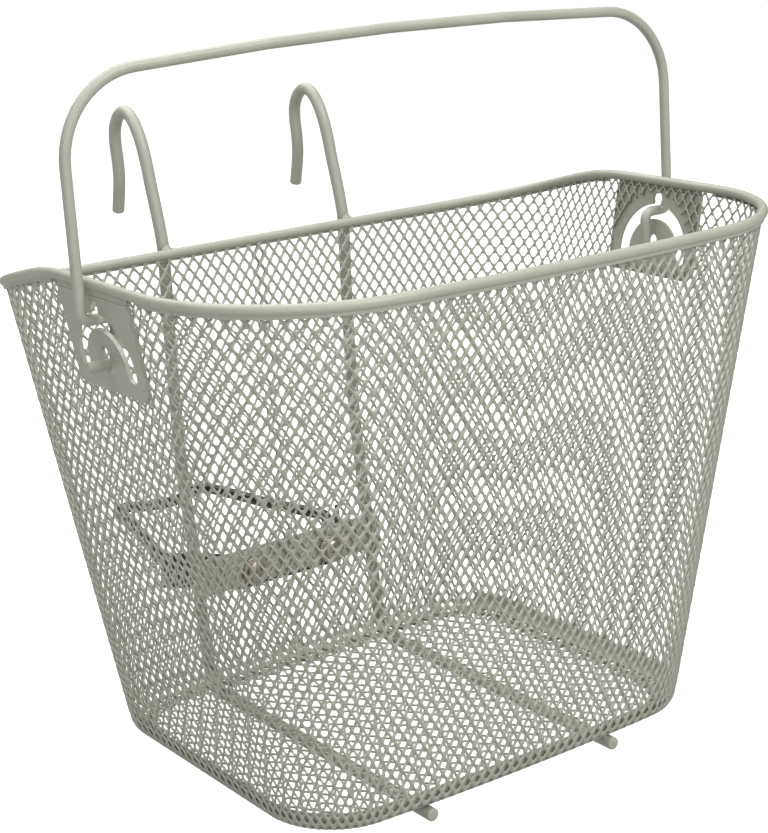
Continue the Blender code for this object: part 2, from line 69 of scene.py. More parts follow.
# expanded metal
COLUMNS = 152       # diamonds round the wall
WALL_PARTS = 6      # the wall is made in this many pieces
STRETCH_RIM, STRETCH_FOOT = 0.074, -0.186    # widening of the columns over the flat back
HALF_ROW = 4.82
BOND_HALF = 0.84    # half width of a bond between two openings
OPEN_HALF = 2.2
STRAIGHT = 0.3      # half height of a bond's straight part
TWIST = 0.21        # a strand's swing to each side of the sheet
TWIST_MAX = 0.62    # no point of a strand stands off the sheet by more than this
THICK = 0.86
EDGE = 0.22         # the paint rounds the strands' edges by this much
SEAM_OVER = 2       # half columns that the two ends of the wall overlap
SEAM_LIFT = 0.55
SEAM_RUN = 9.0      # half columns over which each end rises to its place in the seam
WINDOW_REACH = 8.0  # how far off the sheet a window or screw hole still cuts it
SCREW_HOLE = 3.2
FLOOR_COARSE = 1.6  # size of the floor's openings against the wall's
FLOOR_COLUMN = 3.05 * FLOOR_COARSE
# floor's turned-up edge: its outer face off the wall's sheet, thickness, first half column
HEM_OUT, HEM_T, HEM_FROM = -1.3, 0.8, 46
FOLD_OPEN = (0.7, 0.82, 1.0)    # openings below, on and above the fold's edge, as pressed
# side plates and pivot
PIVOT_Y, PIVOT_Z = -7.0, 230.3
WINDOW_R, WINDOW_TOP, WINDOW_LOW = 30.4, 31.3, -8.0
PLATE_HALF, PLATE_TOP, PLATE_MID = 31.5, 33.2, 1.9
# strip under the rim
LIP_T = 1.0
LIP_CUT_FRONT, LIP_CUT_BACK = -41.0, 27.0
# handle
HANDLE_R, HANDLE_HALF, HANDLE_H = 2.6, 177.8, 132.5
HANDLE_CORNER, HANDLE_CROSS = 40.0, 21.0
HANDLE_INNER, HANDLE_STUB, HANDLE_LEAN = 161.3, 177.4, 2.0
# rods, strap, stay
ROD_R, ROD_X = 3.25, 58.0
STRAP_T, STAY_T = 2.0, 2.5
BOLT_X, BOLT_Z = 25.5, 63.3
BAIL_R = 3.25
# screws
HEAD_R, HEAD_DOME, HEAD_H = 5.6, 6.6, 3.1
WASHER_T, WASHER_IN, WASHER_OUT, WASHER_HOLE = 1.2, 8.0, 6.0, 3.3
NUT_T, NUT_FLAT, NUT_CORNER = 5.0, 5.0, 5.7
THREAD_PITCH, THREAD_PAST_NUT = 1.0, 2.0
# heights along a bolt's axis, from the middle of the mesh outwards
HEAD_Z = -(SHEET / 2 + GAP + WASHER_T + GAP)
WASHER_Z = SHEET / 2 + GAP + STRAP_T + GAP + STAY_T + GAP
NUT_Z = WASHER_Z + WASHER_T + GAP


# ---------------------------------------------------------------- shapes
def outline(half, back, front, rb, rf, bow, inset=0.0):
    """Plan outline from the middle of the back, anticlockwise seen from above."""
    h, b, f = half - inset, back - inset, front + inset
    rb, rf = max(rb - inset, 1.0), max(rf - inset, 1.0)
    pts = []

    def arc(cx, cy, r, a0, a1):
        for k in range(CORNER_STEPS):
            a = math.radians(a0 + (a1 - a0) * k / (CORNER_STEPS - 1))
            pts.append((cx + r * math.cos(a), cy + r * math.sin(a)))

    def line(x0, y0, x1, y1, n):
        for k in range(1, n):
            pts.append((x0 + (x1 - x0) * k / n, y0 + (y1 - y0) * k / n))

    pts.append((0.0, b))
    line(0.0, b, -(h - rb), b, SIDE_STEPS)
    arc(-(h - rb), b - rb, rb, 90, 180)
    line(-h, b - rb, -h, f + rf, SIDE_STEPS)
    arc(-(h - rf), f + rf, rf, 180, 270)
    line(-(h - rf), f, h - rf, f, NOSE_STEPS)
    arc(h - rf, f + rf, rf, 270, 360)
    line(h, f + rf, h, b - rb, SIDE_STEPS)
    arc(h - rb, b - rb, rb, 0, 90)
    line(h - rb, b, 0.0, b, SIDE_STEPS)
    p = np.array(pts)
    ahead = np.clip(p[:, 1] / f, 0.0, 1.0)
    p[:, 1] -= bow * (1.0 - (p[:, 0] / h) ** 2) * ahead
    return p


def rim_height(y):
    """Level at the front and sides, then an eased fall to the back."""
    fall = RIM_SOFT * np.log1p(np.exp((y - RIM_DIP_Y) / RIM_SOFT))
    return RIM_Z + (RIM_Z_BACK - RIM_Z) * fall / (RIM_BACK - RIM_DIP_Y)


def rim_ring():
    """The rim wire's line in the CAD, as points from the middle of the back."""
    p = outline(RIM_HALF, RIM_BACK, RIM_FRONT, RIM_RB, RIM_RF, RIM_BOW)
    return np.column_stack((p, rim_height(p[:, 1])))


def foot_ring():
    """The line where the wall would meet the floor without its fold."""
    p = outline(FOOT_HALF, FOOT_BACK, FOOT_FRONT, FOOT_RB, FOOT_RF, FOOT_BOW)
    return np.column_stack((p, np.full(len(p), FOOT_Z)))


RIM = rim_ring()
FOOT = foot_ring()


def side_frame(sign):
    """A plate's own frame in mm: x outward from the wall, y back, z up the wall."""
    run, rise = RIM_HALF - FOOT_HALF, RIM_Z - FOOT_Z
    lean = math.atan2(run, rise)
    x = FOOT_HALF + run * (PIVOT_Z - FOOT_Z) / rise
    m = Matrix(((math.cos(lean), 0.0, math.sin(lean), x), (0.0, 1.0, 0.0, PIVOT_Y),
                (-math.sin(lean), 0.0, math.cos(lean), PIVOT_Z), (0.0, 0.0, 0.0, 1.0)))
    return Matrix.Diagonal((-1.0, 1.0, 1.0, 1.0)) @ m if sign < 0 else m


def back_frame(x):
    """Frame in mm on the back wall at bolt height: x right, y outward, z up the wall."""
    run, rise = RIM_BACK - FOOT_BACK, RIM_Z_BACK - FOOT_Z
    lean = math.atan2(run, rise)
    y = FOOT_BACK + run * (BOLT_Z - FOOT_Z) / rise
    return Matrix(((1.0, 0.0, 0.0, x), (0.0, math.cos(lean), math.sin(lean), y),
                   (0.0, -math.sin(lean), math.cos(lean), BOLT_Z), (0.0, 0.0, 0.0, 1.0)))


def rounded(points, steps=10):
    """Round the corners of a polyline: each point is (x, y, z, radius)."""
    out = []
    for i, p in enumerate(points):
        here, r = Vector(p[:3]), p[3]
        if i in (0, len(points) - 1) or r <= 0.0:
            out.append(here)
            continue
        a = (Vector(points[i - 1][:3]) - here).normalized()
        b = (Vector(points[i + 1][:3]) - here).normalized()
        half = a.angle(b) / 2.0
        reach = r / math.tan(half)
        centre = here + (a + b).normalized() * (r / math.sin(half))
        start, end = here + a * reach - centre, here + b * reach - centre
        sweep_a = start.angle(end)
        for k in range(steps + 1):
            f = k / steps
            w0 = math.sin((1 - f) * sweep_a) / math.sin(sweep_a)
            w1 = math.sin(f * sweep_a) / math.sin(sweep_a)
            out.append(centre + start * w0 + end * w1)
    return np.array([tuple(v) for v in out])


def smooth_path(pts, step=1.6):
    """A smooth curve through the points, by tangents weighted with their distances."""
    p = np.asarray(pts, float)
    t = np.concatenate(([0.0], np.cumsum(np.linalg.norm(np.diff(p, axis=0), axis=1))))
    d = np.diff(p, axis=0) / np.diff(t)[:, None]
    m = np.empty_like(p)
    w = np.diff(t)[:, None]
    m[1:-1] = (d[:-1] * w[1:] + d[1:] * w[:-1]) / (w[:-1] + w[1:])
    m[0], m[-1] = d[0], d[-1]
    out = []
    for i in range(len(p) - 1):
        n = max(int(round(w[i, 0] / step)), 1)
        h = w[i, 0]
        for k in range(n):
            s = k / n
            out.append((2 * s**3 - 3 * s**2 + 1) * p[i] + (s**3 - 2 * s**2 + s) * h * m[i]
                       + (-2 * s**3 + 3 * s**2) * p[i + 1] + (s**3 - s**2) * h * m[i + 1])
    out.append(p[-1])
    return np.array(out)


# ---------------------------------------------------------------- mesh making
def new_object(name, co_mm, faces, body, mat, smooth=True):
    """A mesh piece from millimetre points; it rides on its body and takes its material."""
    co = np.asarray(co_mm, float).reshape(-1, 3).copy()
    co[:, 1] += SHIFT_Y
    me = bpy.data.meshes.new(name)
    if isinstance(faces, np.ndarray):
        me.vertices.add(len(co))
        me.vertices.foreach_set("co", (co * MM).ravel())
        me.loops.add(faces.size)
        me.loops.foreach_set("vertex_index", faces.astype(np.int32).ravel())
        me.polygons.add(len(faces))
        starts = np.arange(0, faces.size, faces.shape[1], dtype=np.int32)
        me.polygons.foreach_set("loop_start", starts)
        me.update(calc_edges=True)
    else:
        me.from_pydata([tuple(c) for c in co * MM], [], faces)
        me.update()
    me.validate()
    obj = bpy.data.objects.new(name, me)
    bpy.context.scene.collection.objects.link(obj)
    me.materials.append(mat)
    if smooth:
        me.shade_smooth()
    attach(obj, body)
    return obj


def sharpen(obj, degrees):
    obj.data.set_sharp_from_angle(angle=math.radians(degrees))
    return obj


def band(first, second, count):
    """Faces that join two closed rings of points, given where each ring starts."""
    return [(first + k, first + (k + 1) % count, second + (k + 1) % count, second + k)
            for k in range(count)]


def sweep(path, radius, sides=20, closed=False, ends=0.7):
    """Points and faces of a round wire along a path, its open ends cut flat and rounded."""
    p = np.asarray(path, float)
    n = len(p)
    if closed:
        tan = np.roll(p, -1, 0) - np.roll(p, 1, 0)
    else:
        tan = np.gradient(p, axis=0)
    tan /= np.linalg.norm(tan, axis=1)[:, None]
    up = np.array((0.0, 0.0, 1.0)) if abs(tan[0, 2]) < 0.9 else np.array((1.0, 0.0, 0.0))
    normal = np.empty_like(p)
    normal[0] = np.cross(np.cross(tan[0], up), tan[0])
    for i in range(1, n):
        v = normal[i - 1] - tan[i] * np.dot(normal[i - 1], tan[i])
        normal[i] = v / np.linalg.norm(v)
    normal[0] /= np.linalg.norm(normal[0])
    side = np.cross(tan, normal)
    a = 2 * math.pi * np.arange(sides) / sides
    ring = np.cos(a)[None, :, None], np.sin(a)[None, :, None]

    def rings(centre, nrm, sid, r):
        return centre[:, None] + r * (ring[0] * nrm[:, None] + ring[1] * sid[:, None])

    if closed:
        co = rings(p, normal, side, radius).reshape(-1, 3)
        faces = []
        for i in range(n):
            j = (i + 1) % n
            faces += band(i * sides, j * sides, sides)
        return co, faces
    blocks = []
    for e in (3, 2, 1):                       # rounded start
        q = math.radians(30 * e)
        c = p[:1] + tan[:1] * ends * (1 - math.sin(q))
        blocks.append(rings(c, normal[:1], side[:1], radius - ends * (1 - math.cos(q))))
    body = p.copy()
    body[0] += tan[0] * ends
    body[-1] -= tan[-1] * ends
    blocks.append(rings(body, normal, side, radius))
    for e in (1, 2, 3):
        q = math.radians(30 * e)
        c = p[-1:] - tan[-1:] * ends * (1 - math.sin(q))
        blocks.append(rings(c, normal[-1:], side[-1:], radius - ends * (1 - math.cos(q))))
    co = np.concatenate([b.reshape(-1, 3) for b in blocks])
    total = len(co) // sides
    faces = []
    for i in range(total - 1):
        faces += band(i * sides, (i + 1) * sides, sides)
    first, last = len(co), len(co) + 1
    co = np.concatenate((co, p[:1], p[-1:]))
    for k in range(sides):
        k2 = (k + 1) % sides
        faces.append((first, k2, k))
        faces.append((last, (total - 1) * sides + k, (total - 1) * sides + k2))
    return co, faces


def lathe(profile, matrix, sides):
    """Turn a closed profile of (radius, height) points about the frame's z."""
    co, faces = [], []
    for r, z in profile:
        for k in range(sides):
            a = 2 * math.pi * k / sides
            co.append(tuple(matrix @ Vector((r * math.cos(a), r * math.sin(a), z))))
    for j in range(len(profile)):
        faces += band(j * sides, (j + 1) % len(profile) * sides, sides)
    return co, faces


# ---------------------------------------------------------------- expanded metal
# One opening's outline about its centre, anticlockwise from its right-hand point.
OPENING = np.array((
    (2.2, 0.0), (2.07, 0.45), (0.78, 2.60), (0.0, 3.02), (-0.78, 2.60), (-2.07, 0.45),
    (-2.2, 0.0), (-2.07, -0.45), (-0.78, -2.60), (0.0, -3.02), (0.78, -2.60), (2.07, -0.45)))


def expanded(k0, k1, j0, j1, pitch, surface, keep, coarse=1.0, folded=False):
    """Raised expanded metal as one sheet.

    Openings lie on a staggered lattice of half columns k and half rows j. Every bond is
    tilted the same way about its long axis, so each strand passes from the high half of one
    bond to the low half of the next. Returns points, quads, and each quad's column.
    """
    jj, kk = np.meshgrid(np.arange(j0, j1 + 1), np.arange(k0, k1 + 1), indexing="ij")
    hole = (jj + kk) % 2 == 1
    idx = np.full(jj.shape, -1)
    idx[hole] = np.arange(hole.sum())
    kc = kk[hole].astype(float)[:, None]
    row = HALF_ROW * coarse
    vc = jj[hole].astype(float)[:, None] * row
    p = pitch(kc, vc)
    bond = np.minimum(BOND_HALF, 0.32 * p)
    s = bond / BOND_HALF
    size = np.interp(vc / HALF_ROW, (-1, 0, 1), FOLD_OPEN) if folded else np.ones_like(vc)
    nxt, prv = np.roll(OPENING, -1, 0), np.roll(OPENING, 1, 0)
    out = np.column_stack((nxt[:, 1] - prv[:, 1], prv[:, 0] - nxt[:, 0]))
    out /= np.linalg.norm(out, axis=1)[:, None]
    u = size * (p - bond) * OPENING[:, 0] / OPEN_HALF
    v = high = size**2 * (OPENING[:, 1] * coarse + out[:, 1] * 0.45 * (coarse - 1))
    t = np.clip((np.abs(high) - STRAIGHT) / (row - 2 * STRAIGHT), 0, 1)
    swing = np.where(size < 1, 0.0, TWIST * s)
    deep = -swing * (1 - 2 * t) + 2 * swing / bond * (np.abs(u) - (p - bond / 2) + (p - bond) * t)
    deep = np.clip(deep * np.sign(OPENING[:, 0]), -TWIST_MAX, TWIST_MAX)
    tilt = np.arctan2(2 * swing, bond)
    layers = []
    for face in (1, 0, -1):
        e = EDGE * abs(face)
        uu = u + e * s * out[:, 0] - face * np.sin(tilt) * THICK / 2
        vv = v + e * out[:, 1]
        nn = deep + face * np.cos(tilt) * THICK / 2
        layers.append(surface(kc + uu / p, vc + vv, nn))
    count = len(kc) * 12
    co = np.concatenate([x.reshape(-1, 3) for x in layers])

    def at(dj, dk):
        src_j, src_k = jj[hole] - j0 + dj, kk[hole] - k0 + dk
        ok = (src_j >= 0) & (src_j < idx.shape[0]) & (src_k >= 0) & (src_k < idx.shape[1])
        r = np.full(len(src_j), -1)
        r[ok] = idx[src_j[ok], src_k[ok]]
        return r

    a, b, c, d, e = np.arange(len(kc)), at(1, 1), at(0, 2), at(-1, 1), at(1, -1)

    def quad(*corners):
        ok = np.all([cell >= 0 for cell, _ in corners], axis=0)
        return np.column_stack([cell[ok] * 12 + k for cell, k in corners])

    web = np.concatenate((
        quad((a, 1), (b, 8), (b, 7), (a, 2)), quad((a, 5), (a, 4), (e, 11), (e, 10)),
        quad((a, 0), (b, 9), (b, 8), (a, 1)), quad((a, 0), (a, 11), (d, 4), (d, 3)),
        quad((c, 6), (d, 3), (d, 2), (c, 7)), quad((c, 6), (c, 5), (b, 10), (b, 9)),
        quad((a, 0), (d, 3), (c, 6), (b, 9))))
    full_k = (kc + u / p).ravel()
    full_v = (vc + v).ravel()
    mid = co[count:2 * count]
    ok = keep(full_k[web].mean(1), full_v[web].mean(1), mid[web].mean(1))
    web = web[ok]
    head, tail = web.ravel(), np.roll(web, -1, 1).ravel()
    rim_edge = ~np.isin(head * count + tail, tail * count + head)
    head, tail = head[rim_edge], tail[rim_edge]
    wall_a = np.column_stack((tail, head, head + count, tail + count))
    quads = np.concatenate((web, wall_a, wall_a + count, web[:, ::-1] + 2 * count))
    return co, quads, full_k[quads % count].mean(1)


def compact(co, quads):
    """Drop the points that no face uses."""
    used, inverse = np.unique(quads, return_inverse=True)
    return co[used], inverse.reshape(quads.shape)


class Wall:
    """The basket wall as a surface: kk counts half columns, v runs up from the fold."""

    def __init__(self):
        self.n = 2 * COLUMNS
        mid = (RIM + FOOT) / 2
        loop = np.concatenate((mid, mid[:1]))
        s = np.concatenate(([0.0], np.cumsum(np.linalg.norm(np.diff(loop[:, :2], axis=0), axis=1))))
        s = s / s[-1] * self.n
        # the sheet is drawn tighter over the flat back: a little at the rim, more at the foot
        self.rim = self.stretched(s, np.concatenate((RIM, RIM[:1])), RIM_HALF - RIM_RB,
                                 STRETCH_RIM)
        self.foot = self.stretched(s, np.concatenate((FOOT, FOOT[:1])), FOOT_HALF - FOOT_RB,
                                  STRETCH_FOOT)

    def stretched(self, s, ring, flat, bend):
        """Column count and place along a ring, columns widening (bend > 0) off the middle."""
        s = s.copy()
        back = SIDE_STEPS + 1
        edge = s[SIDE_STEPS]
        f = np.clip(np.abs(ring[:, 0]) / flat, 0, 1)
        a = 1 - bend
        t = (np.sqrt(a * a + 4 * bend * f) - a) / (2 * bend)
        s[:back] = edge * t[:back]
        s[-back:] = self.n - edge * t[-back:]
        return np.column_stack((s, ring))

    def curve(self, ring, kk):
        q = np.mod(kk, self.n)
        return np.stack([np.interp(q, ring[:, 0], ring[:, i]) for i in (1, 2, 3)], axis=-1)

    def base(self, kk, v):
        """Rim and foot points of a column, the sheet's point between them, and the way in."""
        rim, foot = self.curve(self.rim, kk), self.curve(self.foot, kk)
        z = Z_LOW + np.maximum(v, 0.0)
        f = ((z - FOOT_Z) / (rim[..., 2] - FOOT_Z))[..., None]
        q = foot + (rim - foot) * f
        step = self.curve(self.foot, kk + 0.4) - self.curve(self.foot, kk - 0.4)
        inward = np.stack((-step[..., 1], step[..., 0], np.zeros_like(z)), axis=-1)
        inward /= np.linalg.norm(inward, axis=-1, keepdims=True)
        return rim, foot, q, inward

    def point(self, kk, v, n):
        """Point at column kk and height v, standing n off the middle of the sheet."""
        kk, v, n = np.broadcast_arrays(kk, v, n)
        rim, foot, q, inward = self.base(kk, v)
        ahead = self.curve(self.rim, kk + 0.4), self.curve(self.foot, kk + 0.4)
        behind = self.curve(self.rim, kk - 0.4), self.curve(self.foot, kk - 0.4)
        f = np.clip((Z_LOW + np.maximum(v, 0) - FOOT_Z) / (rim[..., 2] - FOOT_Z), 0, 1)[..., None]
        across = (ahead[1] + (ahead[0] - ahead[1]) * f) - (behind[1] + (behind[0] - behind[1]) * f)
        up = rim - foot
        normal = np.cross(across, up)
        normal /= np.linalg.norm(normal, axis=-1, keepdims=True)
        turn = np.clip(-v / FOLD_R, 0.0, math.pi / 2)[..., None]
        flat = np.maximum(-v - FOLD_R * math.pi / 2, 0.0)[..., None]
        q = q + inward * (FOLD_R * (1 - np.cos(turn)) + flat)
        q[..., 2] = q[..., 2] - (FOLD_R * np.sin(turn))[..., 0]
        down = np.zeros_like(normal)
        down[..., 2] = -1.0
        folded = normal * np.cos(turn) + down * np.sin(turn)
        folded /= np.linalg.norm(folded, axis=-1, keepdims=True)
        # the two ends lie one over the other at the seam
        start = np.clip(1 - kk / SEAM_RUN, 0, 1)
        end = np.clip(1 - (self.n + SEAM_OVER - kk) / SEAM_RUN, 0, 1)
        lift = SEAM_LIFT * (end * end * (3 - 2 * end) - start * start * (3 - 2 * start))
        return q + folded * (n + lift)[..., None]

    def pitch(self, kk, v):
        """Width of a half column at this place."""
        a = self.point(kk + 0.5, v, np.zeros_like(kk))
        b = self.point(kk - 0.5, v, np.zeros_like(kk))
        return np.linalg.norm(a - b, axis=-1)

    def keep(self, kk, v, co):
        """Whether a bit of the sheet stays: inside its edges, off the windows and holes."""
        rim = self.curve(self.rim, kk)
        ok = (co[:, 2] < rim[:, 2]) & (v > -(FOLD_R * math.pi / 2 + FLANGE))
        ok &= (kk > -0.4) & (kk < self.n + SEAM_OVER + 0.4)
        for sign in (-1, 1):
            inv = np.array(side_frame(sign).inverted())
            q = co @ inv[:3, :3].T + inv[:3, 3]
            inside = (q[:, 1] / WINDOW_R) ** 2 + (q[:, 2] / WINDOW_TOP) ** 2 < 1
            ok &= ~(inside & (q[:, 2] > WINDOW_LOW) & (np.abs(q[:, 0]) < WINDOW_REACH))
            inv = np.array(back_frame(sign * BOLT_X).inverted())
            q = co @ inv[:3, :3].T + inv[:3, 3]
            hole = np.hypot(q[:, 0], q[:, 2]) < SCREW_HOLE
            ok &= ~(hole & (np.abs(q[:, 1]) < WINDOW_REACH))
        return ok


def make_wall_mesh(mat):
    wall = Wall()
    rows_up = int((RIM_Z - Z_LOW) / HALF_ROW) + 2
    co, quads, col = expanded(-3, wall.n + SEAM_OVER + 3, -7, rows_up, wall.pitch,
                              wall.point, wall.keep, folded=True)
    which = (col / (wall.n + SEAM_OVER) * WALL_PARTS).astype(int)
    which = np.clip(which, 0, WALL_PARTS - 1)
    for k in range(WALL_PARTS):
        c, f = compact(co, quads[which == k])
        obj = new_object(f"wall_expanded_{k + 1}", c, f, "basket", mat)
        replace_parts(obj, "wall_mesh")


def make_floor_mesh(mat):
    ring = outline(FOOT_HALF, FOOT_BACK, FOOT_FRONT, FOOT_RB, FOOT_RF, FOOT_BOW, FLOOR_INSET)
    nxt = np.roll(ring, -1, 0)

    def surface(kk, v, n):
        kk, v, n = np.broadcast_arrays(kk, v, n)
        return np.stack((-kk * FLOOR_COLUMN, FLOOR_CENTRE - v, FLOOR_MID + n), axis=-1)

    def pitch(kk, v):
        return np.full_like(kk, FLOOR_COLUMN)

    def keep(kk, v, co):
        x, y = co[:, 0][:, None], co[:, 1][:, None]
        up = (ring[:, 1] > y) != (nxt[:, 1] > y)
        slope = (nxt[:, 0] - ring[:, 0]) / (nxt[:, 1] - ring[:, 1] + 1e-9)
        cross = ring[:, 0] + (y - ring[:, 1]) * slope
        return (up & (x < cross)).sum(1) % 2 == 1

    co, quads, _ = expanded(-28, 28, -15, 15, pitch, surface, keep, FLOOR_COARSE)
    c, f = compact(co, quads)
    obj = new_object("floor_expanded", c, f, "basket", mat)
    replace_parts(obj, "floor_mesh")


def make_floor_hem(mat):
    """The floor's turned-up edge, lying inside the fold round the front and the sides."""
    wall = Wall()
    kk = np.arange(HEM_FROM, wall.n - HEM_FROM + 1, dtype=float)
    rise = np.concatenate(((2.4, 1.2), -FOLD_R * np.radians((0, 14, 28, 42, 56, 70, 78))))
    section = [(v, HEM_OUT) for v in rise] + [(v, HEM_OUT - HEM_T) for v in rise[::-1]]
    rows = [wall.point(kk, np.full_like(kk, v), np.full_like(kk, n)) for v, n in section]
    m, count = len(rows), len(kk)
    co = np.stack(rows, axis=1).reshape(-1, 3)
    faces = []
    for i in range(count - 1):
        faces += band(i * m, (i + 1) * m, m)
    faces += [tuple(range(m))[::-1], tuple(range((count - 1) * m, count * m))]
    new_object("floor_hem", co, faces, "basket", mat)


# ---------------------------------------------------------------- wires and strips
def make_rim(mat):
    p = outline(RIM_HALF, RIM_BACK, RIM_FRONT, RIM_RB, RIM_RF, RIM_BOW, -WIRE_OUT)
    path = np.column_stack((p, rim_height(p[:, 1]) + WIRE_UP))
    co, faces = sweep(path, WIRE_R, 24, closed=True)
    obj = new_object("rim_round_wire", co, faces, "basket", mat)
    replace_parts(obj, "rim_wire")


def make_lip(name, node, front, mat):
    """Flat strip that trims the top edge of the mesh, just below the rim wire."""
    n = len(RIM)
    off = SHEET / 2 + GAP + LIP_T / 2
    limit = LIP_CUT_FRONT if front else LIP_CUT_BACK
    order = list(range(n)) if front else list(range(n // 2, n)) + list(range(n // 2))
    rows = []
    for i in order:
        if (RIM[i, 1] <= limit) != front:
            continue
        step = RIM[(i + 1) % n] - RIM[i - 1]
        nrm = np.array((step[1], -step[0], 0.0))
        nrm /= np.linalg.norm(nrm)
        slope = (RIM[i] - FOOT[i]) / (RIM[i, 2] - FOOT[i, 2])
        top = RIM[i] - slope * 0.9
        low = RIM[i] - slope * (RIM_R + 0.5)
        ring = []
        for base, sgn in ((top, 1), (low, -1)):
            for side, up in ((1, 0.0), (1, 0.25), (0.6, 0.4), (-0.6, 0.4), (-1, 0.25), (-1, 0.0)):
                across = nrm * (off + side * LIP_T / 2 * 0.98)
                ring.append(base + across + slope * sgn * (up - 0.4))
        rows.append(ring[:6] + ring[6:][::-1])
    m = len(rows[0])
    co = np.array(rows).reshape(-1, 3)
    faces = []
    for i in range(len(rows) - 1):
        for k in range(m):
            k2 = (k + 1) % m
            faces.append((i * m + k, (i + 1) * m + k, (i + 1) * m + k2, i * m + k2))
    faces.append(tuple(range(m)))
    faces.append(tuple(range((len(rows) - 1) * m, len(rows) * m))[::-1])
    obj = new_object(name, co, faces, "basket", mat)
    sharpen(obj, 60)
    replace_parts(obj, node)


def rod_path():
    """Centre line (y, z) of a hook rod from the hook's tip to its front foot."""
    up = RIM_BACK + RIM_R + GAP + ROD_R
    centre_z = FLOOR_Z - GAP - ROD_R
    bend = FILLET + GAP + ROD_R
    by = FOOT_BACK - FILLET + SHEET / 2 + 0.4
    bz = FLOOR_Z + FILLET
    pts = [
        (173.6, 261.0), (171.2, 271.0), (169.5, 280.0), (169.7, 290.0), (170.7, 299.0),
        (169.8, 306.5), (166.3, 312.3), (161.3, 315.7), (156.0, 316.2), (150.8, 313.3),
        (146.4, 308.2), (142.6, 301.5), (139.4, 293.0), (135.9, 280.0), (132.2, 267.0),
        (129.2, 255.5), (up + 0.1, 247.5), (up, 240.0), (up, 190.0), (126.6, 150.0),
        (124.4, 120.0), (121.2, 95.0), (118.6, 78.0), (116.9, 66.0), (115.7, 52.0),
        (114.2, 38.0), (by + bend + 0.6, 24.0),
    ]
    for k in range(1, 7):
        a = math.radians(15 * k)
        pts.append((by + bend * math.cos(a), bz - bend * math.sin(a)))
    return pts + [(by - 3.0, centre_z), (by - 9.0, centre_z), (60.0, centre_z), (0.0, centre_z),
                  (-60.0, centre_z), (-90.0, centre_z)]


def make_rod(label, sign, mat):
    path = smooth_path([(sign * ROD_X, y, z) for y, z in rod_path()])
    co, faces = sweep(path, ROD_R, 24, ends=1.1)
    obj = new_object("rod_bent_" + label, co, faces, "basket", mat)
    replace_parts(obj, "hook_rod_" + label)


def make_weld(label, sign, mat):
    """The fillet where a rod is welded to the back of the rim, fuller on its right."""
    r1, r2, apart = ROD_R, WIRE_R, RIM_R + GAP + ROD_R - WIRE_OUT
    loops, arc = 72, 7
    co, faces = [], []
    for i in range(loops):
        a = 2 * math.pi * i / loops
        rho = 2.2 + 0.75 * math.cos(a) + 0.12 * math.sin(3 * a + sign)
        zm = math.sqrt((r2 + rho) ** 2 - (apart - r1 - rho) ** 2)
        z = zm * math.sin(a)
        y = -apart + math.sqrt(max((r2 + rho) ** 2 - z * z, 0.0))
        x = math.copysign(math.sqrt(max((r1 + rho) ** 2 - y * y, 0.0)), math.cos(a))
        c = Vector((x, y, z))
        on_rod = Vector((x * r1 / (r1 + rho), y * r1 / (r1 + rho), z))
        on_rim = Vector((x, -apart + (y + apart) * r2 / (r2 + rho), z * r2 / (r2 + rho)))
        d1, d2 = (on_rod - c).normalized(), (on_rim - c).normalized()
        w = d1.angle(d2)
        for k in range(arc):
            f = k / (arc - 1)
            d = (d1 * math.sin((1 - f) * w) + d2 * math.sin(f * w)) / max(math.sin(w), 1e-6)
            co.append(c + d * (rho + 0.02))
        co.append(Vector((0.0, -r1 - GAP / 2, 0.0)).lerp((on_rod + on_rim) / 2, 0.5))
    m = arc + 1
    for i in range(loops):
        faces += band(i * m, (i + 1) % loops * m, m)
    up = RIM_BACK + WIRE_OUT + apart
    pts = [(c.x + sign * ROD_X, c.y + up, c.z + RIM_Z_BACK + WIRE_UP) for c in co]
    new_object("weld_rim_" + label, pts, faces, "basket", mat)


def make_plate_weld(label, sign, mat):
    """Bead that closes the joint between a side plate's top edge and the rim."""
    m, half = side_frame(sign), PLATE_HALF - 0.6
    co, faces = np.empty((0, 3)), []
    for level, run in ((0.75, 0.0), (2.15, 1.3)):
        path = []
        for k in range(63):
            y = half * (k / 31 - 1)
            ripple = 0.05 * math.sin(2.3 * y + run) + 0.04 * math.sin(0.9 * y + sign)
            path.append(tuple(m @ Vector((PLATE_MID - 0.2 * run, y, PLATE_TOP + level + ripple))))
        more, quads = sweep(path, 1.05, 16, ends=0.5)
        faces += [tuple(q + len(co) for q in f) for f in quads]
        co = np.concatenate((co, more))
    new_object("weld_plate_" + label, co, faces, "basket", mat)


def make_handle(mat):
    h = HANDLE_HALF
    side = [
        (HANDLE_STUB, 0.0, 0.0, 0.0), (HANDLE_INNER, 0.0, 0.0, 4.6),
        (HANDLE_INNER, 0.0, HANDLE_CROSS, 4.6), (h, 0.0, HANDLE_CROSS, 4.6),
        (h, 0.0, HANDLE_H - 6.0, HANDLE_CORNER),
    ]
    bar = [(-70.0, 0.0, HANDLE_H - 1.0, 60.0), (0.0, 0.0, HANDLE_H, 0.0),
           (70.0, 0.0, HANDLE_H - 1.0, 60.0)]
    path = rounded([(-x, y, z, r) for x, y, z, r in side] + bar + side[::-1], 14)
    a = math.radians(-HANDLE_LEAN)
    y = path[:, 1] * math.cos(a) - path[:, 2] * math.sin(a)
    z = path[:, 1] * math.sin(a) + path[:, 2] * math.cos(a)
    path = np.column_stack((path[:, 0], y + PIVOT_Y, z + PIVOT_Z))
    keep = np.concatenate(([True], np.linalg.norm(np.diff(path, axis=0), axis=1) > 0.05))
    co, faces = sweep(path[keep], HANDLE_R, 22, ends=0.6)
    obj = new_object("handle_wire", co, faces, "handle", mat)
    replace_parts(obj, "handle")


